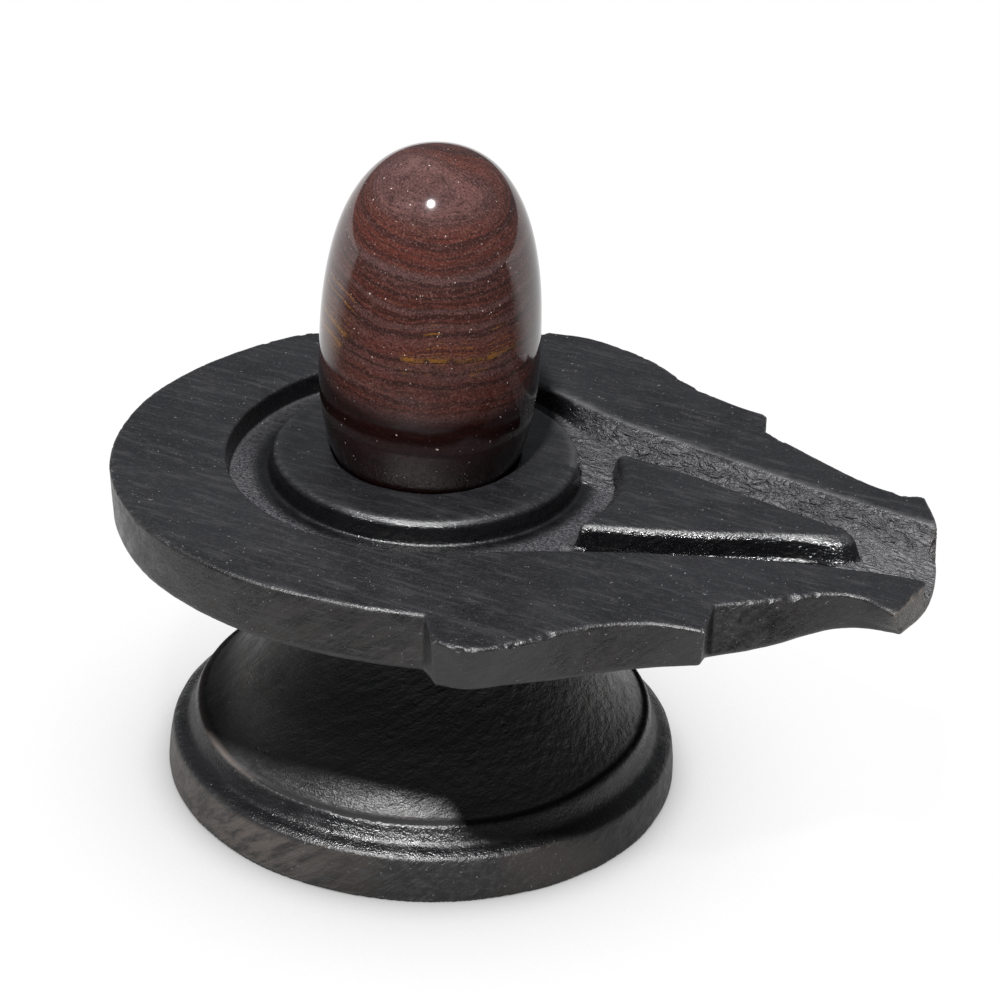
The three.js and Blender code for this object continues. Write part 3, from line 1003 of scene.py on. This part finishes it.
def layers(stops):
    """One number against depth: (depth, value) stops blended into each other."""
    node = n.add("ValToRGB", {0: n.math("DIVIDE", depth, ALL_LAYERS)})
    scale = node.color_ramp.elements
    scale[0].position, scale[1].position = 0.0, 1.0
    for spot, (at, value) in enumerate(stops):
        mark = scale[spot] if spot < 2 else scale.new(at / ALL_LAYERS)
        mark.position = at / ALL_LAYERS
        mark.color = colour(value, value, value)
    return node.outputs[0]


def by_depth(scale, detail, roughness):
    return n.noise(depth, scale, detail, roughness, noise_dimensions="1D")


across_x, across_y, along_depth = both(x, 0.35), both(y, 0.35), both(depth, 22.0)
threads = n.add("CombineXYZ", {0: across_x, 1: across_y, 2: along_depth})
fibres = n.noise(threads, 1.0, 3, 0.65)
patch = n.noise(here, 90, 3)
grit = n.noise(here, 2300, 2, 0.6)
vein = n.math("ABSOLUTE", n.math("SUBTRACT", by_depth(4.2, 2, 0.5), 0.5))
vein = n.ramp(vein, 0.004, 0.045, 1.0, 0.0)
more_at_left = n.ramp(x, -17.0, -7.0, 0.15, -0.03)
where_golden = n.math("ADD", n.noise(here, 85, 3), more_at_left, clamp=True)
golden = both(vein, n.ramp(where_golden, 0.53, 0.62))
golden_zone = both(n.ramp(height, 127, 130), n.ramp(height, 140, 145, 1.0, 0.0))
body = n.mix(n.ramp(patch, 0.40, 0.66), BRICK, DEEP_BRICK)
for share, tone in (
    (n.ramp(by_depth(1.7, 2, 0.6), 0.45, 0.60, 0.0, 0.35), PLUM),
    (layers(MAUVE_LAYERS), MAUVE),
    (n.ramp(by_depth(5.5, 3, 0.65), 0.50, 0.64, 0.0, 0.8), DARK_BAND),
    (n.ramp(by_depth(19.0, 3, 0.7), 0.52, 0.78, 0.0, 0.55), DARK_LINE),
    (n.ramp(depth, 0.3, 1.0, 0.36, 0.0), CROWN_MAUVE),
    (layers(DARK_LAYERS), DARK_LAYER),
    (both(both(golden, 0.75), golden_zone), GOLDEN),
    (n.ramp(fibres, 0.30, 0.47, 0.65, 0.0), DARK_THREAD),
    (n.ramp(fibres, 0.54, 0.72, 0.0, 0.40), PALE_THREAD),
    (n.ramp(grit, 0.34, 0.47, 0.75, 0.0), DARK_GRIT),
    (n.ramp(grit, 0.54, 0.70, 0.0, 0.42), PALE_GRIT),
    # darker towards the lower end: partly a darker band of the stone, partly painted shade
    (n.ramp(height, 124.5, 118.5, 0.0, 0.84), LOW_END_BAND_AND_SHADE),
    (n.ramp(n.noise(here, 1400, 1), 0.755, 0.785, 0.0, 0.8), SPARK),
):
    body = n.mix(share, body, tone)
n.feed(n.shader.inputs["Base Color"], body)
duller_low = n.ramp(height, 124.0, 117.0, 0.0, 0.05)
polish = n.math("ADD", n.ramp(patch, 0.3, 0.7, 0.05, 0.09), duller_low)
n.feed(n.shader.inputs["Roughness"], polish)
n.shader.inputs["IOR"].default_value = 1.54
lingam.data.materials.clear()
lingam.data.materials.append(jasper)
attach(lingam, "root")
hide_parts("lingam_stone")

# ---------------------------------------------------------------------------
# The room. A plain pale floor that glows, so that shadows stay faint, one round
# softbox high in front and a dim even sky.
FLOOR_R = 12.0
SHADE_REACH = 0.046  # how far from the object its soft shade reaches
SHADE_POWER, FLOOR_GLOW = 1.05, 0.985
DARK_FROM, DARK_TO = 0.20, 0.25  # in front the lit floor that the stone mirrors ends here
LEAST_GLOW = 0.06

deselect()
bpy.ops.mesh.primitive_circle_add(vertices=96, radius=FLOOR_R, fill_type="NGON")
floor = bpy.context.object
floor.name = "pale_floor"
pale = bpy.data.materials.new("pale_floor")
n = Nodes(pale)
n.shader.inputs["Base Color"].default_value = colour(0.012, 0.012, 0.012)
n.shader.inputs["Roughness"].default_value = 1.0
n.shader.inputs["Specular IOR Level"].default_value = 0.0
n.shader.inputs["Emission Color"].default_value = colour(1, 1, 1)
open_air = n.add("AmbientOcclusion", {"Distance": SHADE_REACH}, samples=8).outputs["AO"]
glow = both(n.math("POWER", open_air, SHADE_POWER), FLOOR_GLOW)
x, y = n.add("SeparateXYZ", {0: n.add("TexCoord").outputs["Object"]}).outputs[:2]
reach = n.math("SQRT", n.math("ADD", both(x, x), both(y, y)))
behind = n.ramp(n.math("MULTIPLY_ADD", x, -0.3, y), 0.0, 0.16)
lit = n.math("MAXIMUM", n.ramp(reach, DARK_FROM, DARK_TO, 1.0, 0.0), behind)
lit = both(lit, n.ramp(reach, 0.07, 0.14, 0.7, 1.0))
lit = n.math("MULTIPLY_ADD", lit, 1.0 - LEAST_GLOW, LEAST_GLOW)
plain = n.add("LightPath").outputs["Is Camera Ray"]
n.feed(n.shader.inputs["Emission Strength"], both(glow, n.math("MAXIMUM", lit, plain)))
floor.data.materials.append(pale)

world = bpy.data.worlds.new("dim_sky")
world.use_nodes = True
world.node_tree.nodes["Background"].inputs["Color"].default_value = colour(0.92, 0.95, 1.0)
world.node_tree.nodes["Background"].inputs["Strength"].default_value = 0.17
bpy.context.scene.world = world


def softbox(name, azimuth, elevation, distance, size, power):
    """A round lamp aimed at the object; azimuth 0 is in front, positive to the right."""
    a, e = math.radians(azimuth), math.radians(elevation)
    away = Vector((math.sin(a) * math.cos(e), -math.cos(a) * math.cos(e), math.sin(e)))
    lamp = bpy.data.lights.new(name, "AREA")
    lamp.shape = "DISK"
    lamp.size = size
    lamp.energy = power
    holder = bpy.data.objects.new(name, lamp)
    bpy.context.scene.collection.objects.link(holder)
    holder.location = VIEW_TARGET + away * distance
    holder.rotation_euler = away.to_track_quat("Z", "Y").to_euler()
    return holder


VIEW_TARGET = Vector((15.70, 0.0, 70.90)) * MM
softbox("key_softbox", azimuth=4, elevation=60.2, distance=1.6, size=0.12, power=80)

VIEW_AZIMUTH, VIEW_ELEVATION, VIEW_ROLL = (math.radians(v) for v in (17.53, 28.54, 2.97))
VIEW_DISTANCE = 746.2 * MM
back = Vector(
    (
        math.sin(VIEW_AZIMUTH) * math.cos(VIEW_ELEVATION),
        -math.cos(VIEW_AZIMUTH) * math.cos(VIEW_ELEVATION),
        math.sin(VIEW_ELEVATION),
    )
)
right = Vector((math.cos(VIEW_AZIMUTH), math.sin(VIEW_AZIMUTH), 0.0))
up = back.cross(right)
across = right * math.cos(VIEW_ROLL) + up * math.sin(VIEW_ROLL)
upright = up * math.cos(VIEW_ROLL) - right * math.sin(VIEW_ROLL)
lens = bpy.data.cameras.new("view")
lens.lens = 122.4
lens.sensor_width = 36.0
camera = bpy.data.objects.new("view", lens)
bpy.context.scene.collection.objects.link(camera)
turn = Matrix((across, upright, back)).transposed().to_4x4()
camera.matrix_world = Matrix.Translation(VIEW_TARGET + back * VIEW_DISTANCE) @ turn
bpy.context.scene.camera = camera
bpy.context.scene.view_settings.view_transform = "Standard"
